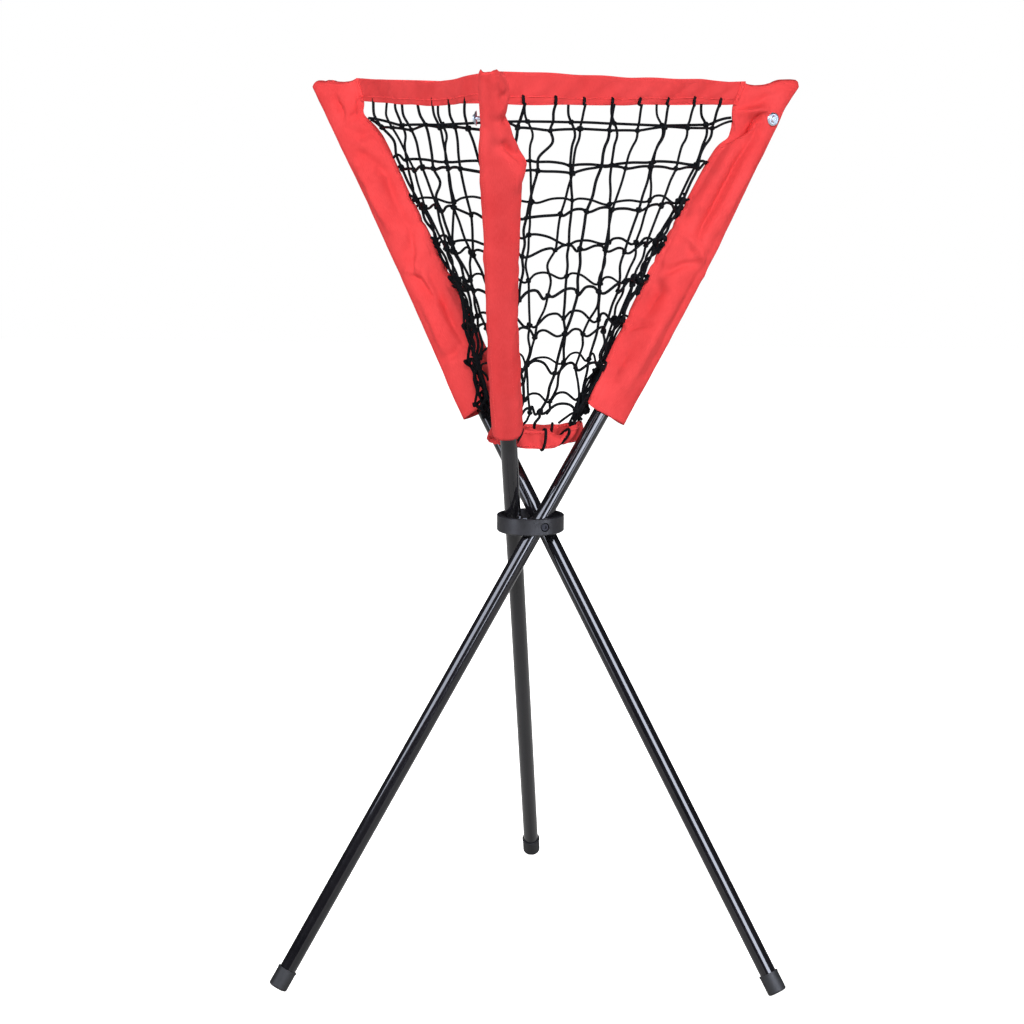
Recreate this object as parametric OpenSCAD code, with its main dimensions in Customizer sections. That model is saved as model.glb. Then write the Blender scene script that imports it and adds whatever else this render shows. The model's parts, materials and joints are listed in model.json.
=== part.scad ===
// Folding tripod ball caddy: three tubes crossing in a ring carry a three-sided net basket.
// Origin: on the ground below the ring's axis. +Z up. Millimetres.
// Each leg turns on a radial screw in the ring; local leg frame: z up the tube, -y outward.

/* [Legs] */
// Length of a leg from its pivot to the underside of its foot cap
leg_down = 510; // [400:5:600]
// Length of a tube from its pivot to its top end
leg_up = 490; // [460:5:560]
// Outside diameter of the leg tubes
tube_d = 16; // [14:0.5:17]
// Wall thickness of the leg tubes
tube_wall = 1.2; // [0.8:0.1:1.5]
// Lean of the legs from the vertical with the stand open
tilt = 32.7; // [28:0.1:36]
// Distance from the ring's axis to a tube's axis at its pivot
waist_r = 17; // [16.5:0.5:18]

/* [Foot caps] */
// Outside diameter of a foot cap
cap_d = 18.6; // [18.6:0.1:21]
// Length of a foot cap
cap_len = 20; // [14:1:30]
// Thickness of a foot cap's end
cap_end = 2.5; // [2:0.1:4]
// Radius of the rounded edge of a foot cap
cap_round = 2; // [1.5:0.1:2.5]
// Height of rubber flattened where a cap stands on the ground
cap_flat = 0.5; // [0.3:0.1:0.8]
// Height of the bead round a foot cap's mouth
cap_bead = 1.6; // [1:0.1:3]

/* [Hub ring] */
// Outside diameter of the ring
ring_d = 66; // [64:0.5:72]
// Wall thickness of the ring
ring_wall = 4; // [3:0.5:4.5]
// Height of the ring
ring_h = 16.5; // [14:0.5:22]
// Chamfer of the ring's outer edges
ring_chamfer = 1.2; // [0.5:0.1:2]
// Diameter of the flat bosses inside the ring
boss_d = 14; // [12:0.5:15]
// Diameter of the recess round a pivot screw's head
recess_d = 9; // [8.8:0.1:11]
// Depth of that recess
recess_depth = 1.9; // [1.2:0.1:2.2]

/* [Pivot hardware] */
// Diameter of the pivot screws
screw_d = 5; // [4:0.5:5]
// Diameter of a pivot screw's head
screw_head_d = 8.4; // [7:0.1:8.6]
// Height of a pivot screw's head
screw_head_h = 1.4; // [1:0.1:1.8]
// Width across the flats of the pivot nuts
nut_af = 8; // [7:0.5:8]
// Height of the pivot nuts
nut_h = 4; // [3:0.5:4]
// Diameter of the saddle washer between tube and ring
outer_saddle_d = 13; // [11:0.5:14]
// Diameter of the saddle washer between tube and nut
inner_saddle_d = 10; // [8:0.5:11]
// Radial clearance of a turning fit
run_gap = 0.05; // [0.02:0.01:0.08]

/* [Fabric sleeves] */
// Height of the basket's top edge above the pivots
basket_top = 424; // [415:1:430]
// Distance up the tube from the pivot to a sleeve's open end
sleeve_start = 126; // [110:1:150]
// Width of a sleeve across the leg's plane of tilt
sleeve_w = 44; // [40:1:52]
// Thickness of a filled-out sleeve
sleeve_t = 24; // [22:0.5:26]
// Thickness of the sleeve cloth with its lining
sleeve_wall = 1.5; // [1:0.1:2]
// Offset of a sleeve's middle outward from the tube at its open end
sleeve_low_x = 3.5; // [0:0.5:6]
// Offset of a sleeve's middle inward from the tube at the top
sleeve_high_x = 12.5; // [8:0.5:13]

/* [Sleeve rivets] */
// Distance up the tube from the pivot to the rivet
rivet_s = 464; // [440:1:470]
// Diameter of the cup washer under a rivet
washer_d = 13; // [11:0.5:15]
// Diameter of a rivet's head
rivet_head_d = 7.5; // [6:0.5:9]
// Diameter of a rivet's shank
rivet_shank_d = 3.5; // [3:0.1:4]

/* [Bands and net] */
// Height of the rim bands
band_h = 22; // [18:1:28]
// Thickness of the rim and hem bands
band_t = 2.4; // [1.5:0.1:3]
// Sag of a rim band between two sleeves
band_sag = 2; // [0:0.5:5]
// Thickness of the knotted net
net_t = 1.6; // [1.2:0.1:2.4]
// Height of the hem bands round the basket's foot
hem_h = 20; // [15:1:24]
// Height of a hem band's upper edge above the pivots at its ends
hem_top = 115; // [112:1:120]
// Sag of a hem band between two sleeves
hem_sag = 21; // [10:1:24]

/* [Hidden] */
$fn = 64;
LEGS = ["a", "b", "c"];
LEG_AZIMUTH = [30, 150, 270];
PANELS = ["ab", "bc", "ca"];

// Legs and ring
tube_r = tube_d / 2;
cap_r = cap_d / 2;
ring_r = ring_d / 2;
ring_bore_r = ring_r - ring_wall;
fit_gap = 0.05;
bead_out = 0.35;
foot_drop = (leg_down - cap_round) * cos(tilt) + (cap_r - cap_round) * sin(tilt) + cap_round;
pin_h = foot_drop - cap_flat;
tube_foot = leg_down - cap_end - fit_gap;
ground_block = 1200;

// Stack of pieces on a pivot, as distances from the ring's axis
nut_start = 3.3;
screw_start = 2.6;
inner_saddle_start = nut_start + nut_h + fit_gap * 2;
boss_face = waist_r + tube_r + 2;
outer_saddle_end = boss_face - fit_gap * 2;
recess_floor = ring_r - recess_depth;
screw_r = screw_d / 2;
socket_r = 1.75;
socket_depth = 1;
ring_edge = 0.6;
dimple_r = 0.8;
dimple_angle = 20;
dimple_lift = 4;

// Plug in a tube's top end
plug_stem_len = 12;
plug_flange = 1.5;

// Sleeve: its middle line leans off the tube from sleeve_low_x to -sleeve_high_x
sleeve_span = leg_up - sleeve_start;
sleeve_slope = -(sleeve_low_x + sleeve_high_x) / sleeve_span;
sleeve_lean = atan(-sleeve_slope);
top_h = pin_h + basket_top;

// Rivet stack, as distances outward from the tube's axis
washer_base = sleeve_t / 2 + fit_gap;
washer_h = 1.3;
rivet_head_base = washer_base + washer_h + fit_gap;
rivet_head_h = 1.6;
rivet_shank_end = tube_r - 4;

// Sheets between two sleeves
sheet_gap = 2;
sheet_inset = 3;
net_gap = 0.4;
SHEET_COLUMNS = 10;

// Point that lies t along a leg's tilt direction and e out from the ring's axis
function place(azimuth, t, e, z) = [
    t * cos(azimuth) + e * sin(azimuth),
    t * sin(azimuth) - e * cos(azimuth),
    z
];

// Inner edge of a sleeve in its leg's plane at height z above the pivots
edge_base = sleeve_low_x - sleeve_w / 2 - sleeve_slope * sleeve_start;
function edge_s(z) = (z + edge_base * sin(tilt)) / (cos(tilt) - sleeve_slope * sin(tilt));
function edge_x(z) = edge_base + sleeve_slope * edge_s(z);
function edge_t(z) = edge_x(z) * cos(tilt) + edge_s(z) * sin(tilt);
function edge_point(azimuth, z) = place(azimuth, edge_t(z) - sheet_gap, waist_r, pin_h + z);

// Height along an edge that hangs by its sag between its two ends
function hanging(edge, u) = edge[0] - edge[1] * 4 * u * (1 - u);

module on_leg(i) {
    rotate([0, 0, LEG_AZIMUTH[i]])
        translate([0, -waist_r, pin_h])
            rotate([0, tilt, 0])
                children();
}

// z runs outward along a pivot from the ring's axis
module on_pivot(i) {
    rotate([0, 0, LEG_AZIMUTH[i]])
        translate([0, 0, pin_h])
            rotate([90, 0, 0])
                children();
}

// z runs outward from a tube's axis at the rivet
module on_rivet(i) {
    on_leg(i)
        translate([0, 0, rivet_s])
            rotate([90, 0, 0])
                children();
}

module ring_section() {
    half = ring_h / 2;
    polygon([
        [ring_bore_r + ring_edge, -half],
        [ring_r - ring_chamfer, -half],
        [ring_r, -half + ring_chamfer],
        [ring_r, half - ring_edge],
        [ring_r - ring_edge, half],
        [ring_bore_r + ring_edge, half],
        [ring_bore_r, half - ring_edge],
        [ring_bore_r, -half + ring_edge]
    ]);
}

module hub_ring() {
    color([0.09, 0.09, 0.11])
        difference() {
            union() {
                translate([0, 0, pin_h])
                    rotate_extrude()
                        ring_section();
                for (i = [0:2])
                    on_pivot(i)
                        translate([0, 0, boss_face])
                            cylinder(d = boss_d, h = ring_bore_r + ring_wall / 2 - boss_face);
            }
            for (i = [0:2]) {
                on_pivot(i)
                    translate([0, 0, boss_face - 1])
                        cylinder(r = screw_r + run_gap, h = ring_wall * 3);
                on_pivot(i)
                    translate([0, 0, recess_floor])
                        cylinder(d = recess_d, h = ring_wall);
                rotate([0, 0, -dimple_angle])
                    on_pivot(i)
                        translate([0, dimple_lift, ring_r - dimple_r / 2])
                            cylinder(r = dimple_r, h = ring_wall);
            }
        }
}

module pivot_screw(i) {
    color([0.05, 0.05, 0.06])
        on_pivot(i)
            difference() {
                union() {
                    translate([0, 0, screw_start])
                        cylinder(r = screw_r, h = recess_floor + fit_gap * 2 - screw_start);
                    translate([0, 0, recess_floor + fit_gap])
                        cylinder(d = screw_head_d, h = screw_head_h / 2);
                    translate([0, 0, recess_floor + fit_gap + screw_head_h / 2])
                        cylinder(d1 = screw_head_d, d2 = screw_head_d - screw_head_h, h = screw_head_h / 2);
                }
                translate([0, 0, recess_floor + fit_gap + screw_head_h - socket_depth])
                    cylinder(r = socket_r, h = socket_depth * 2, $fn = 6);
            }
}

module pivot_nut(i) {
    color([0.45, 0.46, 0.48])
        on_pivot(i)
            translate([0, 0, nut_start])
                difference() {
                    cylinder(d = nut_af / cos(30), h = nut_h, $fn = 6);
                    translate([0, 0, -1])
                        cylinder(r = screw_r + fit_gap / 2, h = nut_h + 2);
                }
}

// Saddle washer between two distances on the pivot, hollowed to sit on the tube
module saddle(i, diameter, start, end) {
    difference() {
        on_pivot(i)
            translate([0, 0, start])
                cylinder(d = diameter, h = end - start);
        on_pivot(i)
            cylinder(r = screw_r + run_gap * 2, h = ring_r);
        on_leg(i)
            translate([0, 0, -tube_d])
                cylinder(r = tube_r + fit_gap, h = tube_d * 2);
    }
}

module outer_saddle(i) {
    color([0.12, 0.12, 0.13])
        saddle(i, outer_saddle_d, waist_r + sqrt(pow(tube_r, 2) - pow(outer_saddle_d / 2, 2)), outer_saddle_end);
}

module inner_saddle(i) {
    color([0.12, 0.12, 0.13])
        saddle(i, inner_saddle_d, inner_saddle_start, waist_r - sqrt(pow(tube_r, 2) - pow(inner_saddle_d / 2, 2)));
}

module leg_tube(i) {
    color([0.03, 0.03, 0.04])
        on_leg(i)
            difference() {
                translate([0, 0, -tube_foot])
                    cylinder(r = tube_r, h = tube_foot + leg_up);
                translate([0, 0, -tube_foot - 1])
                    cylinder(r = tube_r - tube_wall, h = tube_foot + leg_up + 2);
                rotate([90, 0, 0])
                    translate([0, 0, -tube_d])
                        cylinder(r = screw_r + run_gap, h = tube_d * 2);
                translate([0, 0, rivet_s])
                    rotate([90, 0, 0])
                        cylinder(d = rivet_shank_d + fit_gap * 2, h = tube_d);
            }
}

module cap_section() {
    translate([0, cap_round])
        square([cap_r, cap_len - cap_round]);
    square([cap_r - cap_round, cap_round * 2]);
    translate([cap_r - cap_round, cap_round])
        circle(r = cap_round);
    translate([0, cap_len - cap_bead])
        square([cap_r + bead_out, cap_bead]);
}

module foot_cap(i) {
    color([0.07, 0.07, 0.08])
        difference() {
            on_leg(i)
                translate([0, 0, -leg_down])
                    difference() {
                        rotate_extrude()
                            cap_section();
                        translate([0, 0, cap_end])
                            cylinder(r = tube_r + fit_gap, h = cap_len);
                    }
            translate([-ground_block / 2, -ground_block / 2, -ground_block])
                cube(ground_block);
        }
}

module tube_plug(i) {
    stem_r = tube_r - tube_wall - fit_gap;
    color([0.06, 0.06, 0.07])
        on_leg(i)
            translate([0, 0, leg_up]) {
                translate([0, 0, -plug_stem_len])
                    cylinder(r = stem_r, h = plug_stem_len + plug_flange);
                translate([0, 0, fit_gap])
                    cylinder(r1 = tube_r, r2 = tube_r - 1, h = plug_flange);
            }
}

module sleeve_outline(shrink) {
    r = sleeve_t / 2 - shrink;
    half = (sleeve_w - sleeve_t) / 2;
    for (side = [-1, 1])
        translate([side * half, 0])
            circle(r = r);
    square([half * 2, r * 2], center = true);
}

// Sleeve body with its walls moved in by shrink and its ends cut at low and high
module sleeve_form(i, shrink, low, high) {
    intersection() {
        on_leg(i)
            translate([sleeve_low_x, 0, sleeve_start])
                rotate([0, -sleeve_lean, 0])
                    translate([0, 0, -sleeve_w])
                        linear_extrude(height = sleeve_span * 1.4)
                            sleeve_outline(shrink);
        on_leg(i)
            translate([-sleeve_w * 2, -sleeve_w, low])
                cube([sleeve_w * 4, sleeve_w * 2, sleeve_span * 2]);
        translate([-ground_block / 2, -ground_block / 2, 0])
            cube([ground_block, ground_block, high]);
    }
}

module sleeve(i) {
    color([0.86, 0.13, 0.15])
        difference() {
            sleeve_form(i, 0, sleeve_start, top_h);
            sleeve_form(i, sleeve_wall, sleeve_start - 5, top_h - sleeve_wall);
            on_rivet(i)
                cylinder(d = rivet_shank_d + fit_gap * 2, h = sleeve_t);
        }
}

module rivet_washer(i) {
    color([0.8, 0.82, 0.84])
        on_rivet(i)
            translate([0, 0, washer_base])
                difference() {
                    cylinder(d1 = washer_d, d2 = washer_d - 3, h = washer_h);
                    translate([0, 0, -1])
                        cylinder(d = rivet_shank_d + fit_gap * 2, h = washer_h + 2);
                }
}

module sleeve_rivet(i) {
    color([0.75, 0.77, 0.8])
        on_rivet(i)
            difference() {
                union() {
                    translate([0, 0, rivet_shank_end])
                        cylinder(d = rivet_shank_d, h = rivet_head_base + 0.5 - rivet_shank_end);
                    translate([0, 0, rivet_head_base])
                        cylinder(d1 = rivet_head_d, d2 = rivet_head_d - 2, h = rivet_head_h);
                }
                translate([0, 0, rivet_head_base + rivet_head_h - 0.8])
                    cylinder(d = 2.6, h = 2, $fn = 6);
            }
}

// Thin sheet between the inner edges of sleeve i and the next one round.
// low and high are its two edges: [height above the pivots at the ends, sag]
module hung_sheet(i, low, high, thickness, rows) {
    az = LEG_AZIMUTH[i];
    far_az = az + 120;
    columns = SHEET_COLUMNS;
    out = place(az + 60, thickness / 2, 0, 0);
    mid = [for (v = [0:rows]) for (c = [0:columns])
        let (
            u = c / columns,
            z = hanging(low, u) * (1 - v / rows) + hanging(high, u) * v / rows,
            near = edge_point(az, z),
            far = edge_point(far_az, z),
            inset = sheet_inset / norm(far - near),
            w = inset + u * (1 - 2 * inset)
        )
        near * (1 - w) + far * w];
    n = len(mid);
    stride = columns + 1;
    points = concat([for (p = mid) p + out], [for (p = mid) p - out]);
    front = [for (v = [0:rows - 1]) for (c = [0:columns - 1])
        let (k = v * stride + c)
        each [[k, k + 1, k + stride + 1], [k, k + stride + 1, k + stride]]];
    back = [for (f = front) [f[0] + n, f[2] + n, f[1] + n]];
    top_row = rows * stride;
    edges = concat(
        [for (c = [0:columns - 1]) each [[c, c + n, c + n + 1], [c, c + n + 1, c + 1]]],
        [for (c = [0:columns - 1])
            let (k = top_row + c)
            each [[k, k + n + 1, k + n], [k, k + 1, k + n + 1]]],
        [for (v = [0:rows - 1])
            let (k = v * stride)
            each [[k, k + stride + n, k + n], [k, k + stride, k + stride + n]]],
        [for (v = [0:rows - 1])
            let (k = v * stride + columns)
            each [[k, k + n, k + stride + n], [k, k + stride + n, k + stride]]]
    );
    polyhedron(points = points, faces = concat(front, back, edges));
}

module rim_band(i) {
    color([0.88, 0.15, 0.17])
        hung_sheet(i, [basket_top - band_h, band_sag], [basket_top, band_sag], band_t, 1);
}

module net_panel(i) {
    color([0.08, 0.08, 0.09])
        hung_sheet(i, [hem_top + net_gap, hem_sag], [basket_top - band_h - net_gap, band_sag], net_t, 6);
}

module hem_band(i) {
    color([0.8, 0.12, 0.14])
        hung_sheet(i, [hem_top - hem_h, hem_sag], [hem_top, hem_sag], band_t, 1);
}

hub_ring();
for (i = [0:2]) {
    pivot_screw(i);
    pivot_nut(i);
    outer_saddle(i);
    inner_saddle(i);
    leg_tube(i);
    foot_cap(i);
    tube_plug(i);
    sleeve(i);
    rivet_washer(i);
    sleeve_rivet(i);
    rim_band(i);
    net_panel(i);
    hem_band(i);
}
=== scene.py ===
"""Folding tripod ball caddy: three black tubes crossing in a ring, with a red-edged net basket above it."""

import json
import math

import bpy
import numpy as np
from mathutils import Matrix, Vector


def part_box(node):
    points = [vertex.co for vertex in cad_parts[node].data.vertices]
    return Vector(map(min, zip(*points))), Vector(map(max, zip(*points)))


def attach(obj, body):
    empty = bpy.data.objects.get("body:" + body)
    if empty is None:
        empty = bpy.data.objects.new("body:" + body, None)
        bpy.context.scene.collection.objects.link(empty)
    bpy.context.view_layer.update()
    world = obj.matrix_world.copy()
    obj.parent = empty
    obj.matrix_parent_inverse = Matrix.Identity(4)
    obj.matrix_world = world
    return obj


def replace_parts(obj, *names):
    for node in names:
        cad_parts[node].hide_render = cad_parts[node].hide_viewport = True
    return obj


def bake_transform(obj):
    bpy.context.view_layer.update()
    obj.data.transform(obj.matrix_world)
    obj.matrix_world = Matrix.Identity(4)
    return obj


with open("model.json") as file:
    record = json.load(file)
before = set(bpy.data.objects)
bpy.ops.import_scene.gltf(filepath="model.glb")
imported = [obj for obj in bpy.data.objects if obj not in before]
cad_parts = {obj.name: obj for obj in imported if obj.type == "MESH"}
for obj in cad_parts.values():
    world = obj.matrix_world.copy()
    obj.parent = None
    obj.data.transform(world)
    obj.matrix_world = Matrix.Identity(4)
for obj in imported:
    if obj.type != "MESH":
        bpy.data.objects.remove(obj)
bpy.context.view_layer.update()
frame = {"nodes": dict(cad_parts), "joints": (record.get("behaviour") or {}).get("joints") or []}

MM = 0.001
LEGS = "abc"
PANELS = ("ab", "bc", "ca")
UP = np.array([0.0, 0.0, 1.0])

# ---------------------------------------------------------------- frame of each leg

TILT = math.radians(32.7)  # lean of every tube from vertical
SIN, COS = math.sin(TILT), math.cos(TILT)
BASKET_TOP = 424.0  # heights in mm above the pivots
SLEEVE_START = 126.0  # mm up the tube from its pivot
HEM_TOP = 98.0  # height of the hem strips' upper edge
HEM_DEEP = 18.0  # width of a hem strip


def leg_frame(name):
    """Pivot and unit axes of a leg: outward, along the tube, and across it (towards the ground side)."""
    joint = next(j for j in frame["joints"] if j["name"] == f"leg_{name}_fold")
    pivot, outward = np.array(joint["pos_m"]), np.array(joint["axis"])
    lean = np.cross(UP, outward)
    return {
        "pivot": pivot,
        "outward": outward,
        "lean": lean,
        "along": UP * COS + lean * SIN,
        "across": lean * COS - UP * SIN,
    }


AXES = {name: leg_frame(name) for name in LEGS}


def leg_point(name, x, o, s):
    """Row-frame points from leg coordinates in mm: x across, o outward, s up the tube."""
    f = AXES[name]
    x, o, s = (np.asarray(v, float)[..., None] * MM for v in (x, o, s))
    return f["pivot"] + x * f["across"] + o * f["outward"] + s * f["along"]


def smooth(t):
    t = np.clip(t, 0.0, 1.0)
    return t * t * (3 - 2 * t)


# ---------------------------------------------------------------- mesh helpers


class Builder:
    """Collects vertices, faces, UVs in metres and a blend weight for each vertex."""

    def __init__(self):
        self.verts, self.faces, self.uvs, self.weights = [], [], [], []
        self.count = 0

    def add(self, verts, faces, uvs, weights=None):
        verts = np.asarray(verts, float)
        self.verts.append(verts)
        self.faces += [[i + self.count for i in f] for f in faces]
        self.uvs += uvs
        self.weights.append(np.zeros(len(verts)) if weights is None else np.asarray(weights, float))
        self.count += len(verts)

    def build(self, name, material, sharp=None):
        mesh = bpy.data.meshes.new(name)
        mesh.from_pydata(np.concatenate(self.verts).tolist(), [], self.faces)
        layer = mesh.uv_layers.new(name="UVMap")
        flat = np.array([c for f in self.uvs for c in f], np.float32)
        layer.data.foreach_set("uv", flat.ravel())
        mesh.polygons.foreach_set("use_smooth", [True] * len(mesh.polygons))
        if sharp is not None:
            mesh.set_sharp_from_angle(angle=math.radians(sharp))
        mesh.materials.append(material)
        mesh.validate()
        obj = bpy.data.objects.new(name, mesh)
        bpy.context.scene.collection.objects.link(obj)
        return obj


def grid_faces(rows, columns, wrap_rows=False, wrap_columns=False):
    """Quads over a rows x columns lattice of vertices, each with its (row, column) corners for UVs."""
    quads, corners = [], []
    for r in range(rows if wrap_rows else rows - 1):
        for c in range(columns if wrap_columns else columns - 1):
            r2, c2 = (r + 1) % rows, (c + 1) % columns
            quads.append([r * columns + c, r * columns + c2, r2 * columns + c2, r2 * columns + c])
            corners.append([(r, c), (r, c + 1), (r + 1, c + 1), (r + 1, c)])
    return quads, corners


def run_along(path):
    """Length along a polyline at each of its points."""
    return np.concatenate([[0], np.cumsum(np.linalg.norm(np.diff(path, axis=0), axis=1))])


def frames_along(points):
    """Unit tangents and a pair of normals carried along a polyline without twisting."""
    tangents = np.gradient(points, axis=0)
    tangents /= np.linalg.norm(tangents, axis=1)[:, None] + 1e-12
    normal = np.cross(tangents[0], UP)
    if np.linalg.norm(normal) < 0.2:
        normal = np.cross(tangents[0], [1.0, 0.0, 0.0])
    normals = []
    for t in tangents:
        normal = normal - t * (normal @ t)
        normal = normal / np.linalg.norm(normal)
        normals.append(normal)
    normals = np.array(normals)
    return tangents, normals, np.cross(tangents, normals)


def add_tube(builder, points, radius, sides=8, weights=None, closed=False):
    """A round cord through the points, with capped ends, or a closed loop."""
    points = np.asarray(points, float)
    n = len(points)
    radius = np.broadcast_to(radius, n)
    if closed:
        padded = np.vstack([points[-1:], points, points[:1]])
        tangents = padded[2:] - padded[:-2]
        tangents /= np.linalg.norm(tangents, axis=1)[:, None]
        centre = points.mean(0)
        normals = points - centre
        normals -= tangents * (normals * tangents).sum(1)[:, None]
        normals /= np.linalg.norm(normals, axis=1)[:, None] + 1e-12
        others = np.cross(tangents, normals)
    else:
        tangents, normals, others = frames_along(points)
    angle = np.arange(sides) / sides * math.tau
    co, si = np.cos(angle)[None, :, None], np.sin(angle)[None, :, None]
    ring = co * normals[:, None] + si * others[:, None]
    verts = (points[:, None] + ring * radius[:, None, None]).reshape(-1, 3)
    run = run_along(points)
    if closed:
        run = np.append(run, run[-1] + np.linalg.norm(points[0] - points[-1]))
    faces, corners = grid_faces(n, sides, wrap_rows=closed, wrap_columns=True)
    uvs = [[(run[r], c / sides) for r, c in quad] for quad in corners]
    w = None if weights is None else np.repeat(weights, sides)
    if not closed:
        ends = [points[0], points[-1]]
        verts = np.vstack([verts, ends])
        a, b = n * sides, n * sides + 1
        for c in range(sides):
            d = (c + 1) % sides
            faces.append([a, d, c])
            uvs.append([(0, 0), (0, 0.1), (0, 0.2)])
            faces.append([b, (n - 1) * sides + c, (n - 1) * sides + d])
            uvs.append([(run[-1], 0), (run[-1], 0.1), (run[-1], 0.2)])
        if w is not None:
            w = np.concatenate([w, [weights[0], weights[-1]]])
    builder.add(verts, [f[::-1] for f in faces], [u[::-1] for u in uvs], w)


def catmull(points, per_span):
    """A smooth curve through the points."""
    p = np.asarray(points, float)
    p = np.vstack([2 * p[0] - p[1], p, 2 * p[-1] - p[-2]])
    out = []
    for i in range(1, len(p) - 2):
        a, b, c, d = p[i - 1 : i + 3]
        square, cube = 2 * a - 5 * b + 4 * c - d, 3 * b - a - 3 * c + d
        for t in np.arange(per_span) / per_span:
            out.append(0.5 * (2 * b + (c - a) * t + square * t**2 + cube * t**3))
    out.append(p[-2])
    return np.array(out)


# ---------------------------------------------------------------- materials


class Shader:
    """A small helper for writing node materials."""

    def __init__(self, name):
        self.material = bpy.data.materials.new(name)
        self.material.use_nodes = True
        self.tree = self.material.node_tree
        self.surface = self.tree.nodes["Principled BSDF"]

    def node(self, kind, **values):
        n = self.tree.nodes.new(kind)
        inputs = values.pop("inputs", {})
        for key, value in values.items():
            setattr(n, key, value)
        for key, value in inputs.items():
            self.link(value, n.inputs[key])
        return n

    def link(self, value, socket):
        if isinstance(value, bpy.types.NodeSocket):
            self.tree.links.new(value, socket)
        else:
            socket.default_value = value

    def math(self, operation, a, b=0.0, c=0.0):
        return self.node("ShaderNodeMath", operation=operation, inputs={0: a, 1: b, 2: c}).outputs[0]

    def noise(self, scale, detail=3.0, roughness=0.5, coordinates=None):
        coordinates = coordinates or self.node("ShaderNodeTexCoord").outputs["Object"]
        values = {"Vector": coordinates, "Scale": scale, "Detail": detail, "Roughness": roughness}
        return self.node("ShaderNodeTexNoise", inputs=values).outputs["Fac"]

    def ramp(self, value, low, high, from_low=0.0, from_high=1.0):
        values = {"Value": value, "From Min": from_low, "From Max": from_high, "To Min": low, "To Max": high}
        return self.node("ShaderNodeMapRange", inputs=values).outputs["Result"]

    def mix(self, factor, a, b):
        return self.node("ShaderNodeMix", data_type="RGBA", inputs={"Factor": factor, 6: a, 7: b}).outputs[2]

    def bump(self, height, distance, strength=1.0, under=None):
        values = {"Height": height, "Distance": distance, "Strength": strength}
        if under is not None:
            values["Normal"] = under
        return self.node("ShaderNodeBump", inputs=values).outputs["Normal"]

    def uv(self):
        """The UV map, whole and as its two parts."""
        whole = self.node("ShaderNodeUVMap", uv_map="UVMap").outputs["UV"]
        parts = self.node("ShaderNodeSeparateXYZ", inputs={0: whole}).outputs
        return whole, parts[0], parts[1]

    def set(self, **values):
        for key, value in values.items():
            self.link(value, self.surface.inputs[key.replace("_", " ")])
        return self.material


def rgb(*c):
    return (*c, 1.0)


def gloss_paint():
    """Black powder coat with a hard gloss, faint orange peel and fine scuffs."""
    m = Shader("tube_paint")
    peel = m.noise(420, 2)
    scuff = m.noise(60, 6, 0.7)
    rough = m.ramp(scuff, 0.16, 0.3, 0.4, 0.75)
    patches = m.ramp(m.noise(14, 4), 0, 1, 0.35, 0.7)
    colour = m.mix(patches, rgb(0.006, 0.006, 0.008), rgb(0.012, 0.011, 0.014))
    return m.set(
        Base_Color=colour,
        Roughness=rough,
        Normal=m.bump(peel, 0.00006, 0.15),
        Specular_IOR_Level=0.12,
        Coat_Weight=1.0,
        Coat_Roughness=0.035,
    )


def moulded_plastic(name, dark, light, rough=(0.34, 0.5), grain=900):
    """Black moulded plastic with a fine spark-eroded grain and rubbed patches."""
    m = Shader(name)
    grain_height = m.noise(grain, 3, 0.6)
    rub = m.noise(45, 5, 0.65)
    return m.set(
        Base_Color=m.mix(m.ramp(rub, 0, 1, 0.35, 0.7), rgb(*dark), rgb(*light)),
        Roughness=m.ramp(rub, rough[0], rough[1], 0.35, 0.7),
        Normal=m.bump(grain_height, 0.00012, 0.55),
        Specular_IOR_Level=0.55,
    )


def metal(name, colour, rough, brush=0.4):
    """Plated steel with turned marks and slight tarnish."""
    m = Shader(name)
    marks = m.noise(700, 4, 0.7)
    tarnish = m.noise(160, 4, 0.6)
    shade = tuple(c * 0.72 for c in colour)
    return m.set(
        Base_Color=m.mix(m.ramp(tarnish, 0, 1, 0.4, 0.75), rgb(*colour), rgb(*shade)),
        Metallic=1.0,
        Roughness=m.ramp(marks, rough, rough + 0.16, 0.3, 0.7),
        Normal=m.bump(marks, 0.00003, brush),
    )


THREAD = 0.00075  # spacing of the weave's threads, m


def woven_fabric(name, deep, bright):
    """Plain-weave polyester: over-and-under threads in UV metres, uneven yarn colour, nearly matt."""
    m = Shader(name)
    uv, across, along = m.uv()
    warp = m.math("MULTIPLY", across, math.pi / THREAD)
    weft = m.math("MULTIPLY", along, math.pi / THREAD)
    crossing = m.math("MULTIPLY", m.math("SINE", warp), m.math("SINE", weft))
    warp_rib, weft_rib = (m.math("ABSOLUTE", m.math("COSINE", way)) for way in (warp, weft))
    ribs = m.math("ADD", warp_rib, weft_rib)
    weave = m.math("MULTIPLY_ADD", crossing, 0.5, m.math("MULTIPLY", ribs, -0.35))
    stretched = m.node("ShaderNodeMapping", inputs={"Vector": uv, "Scale": (1.0, 0.08, 1.0)})
    yarn = m.noise(2600, 2, 0.6, stretched.outputs["Vector"])
    cloudy = m.noise(22, 5, 0.6)
    fuzz = m.noise(1500, 2, 0.5)
    patches = m.math("MULTIPLY_ADD", yarn, 0.35, m.math("MULTIPLY", cloudy, 0.5))
    tone = m.math("MULTIPLY_ADD", weave, 0.12, patches)
    colour = m.mix(m.ramp(tone, 0, 1, 0.25, 0.62), rgb(*deep), rgb(*bright))
    wrinkle = m.bump(m.noise(34, 3, 0.55), 0.0011, 0.3)
    normal = m.bump(m.math("MULTIPLY_ADD", fuzz, 0.4, weave), 0.00016, 0.45, wrinkle)
    return m.set(
        Base_Color=colour,
        Roughness=m.ramp(fuzz, 0.62, 0.82, 0.3, 0.7),
        Specular_IOR_Level=0.08,
        Normal=normal,
    )


CORD_LAY = 0.0052  # length of one turn of the cord's braid, m


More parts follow.
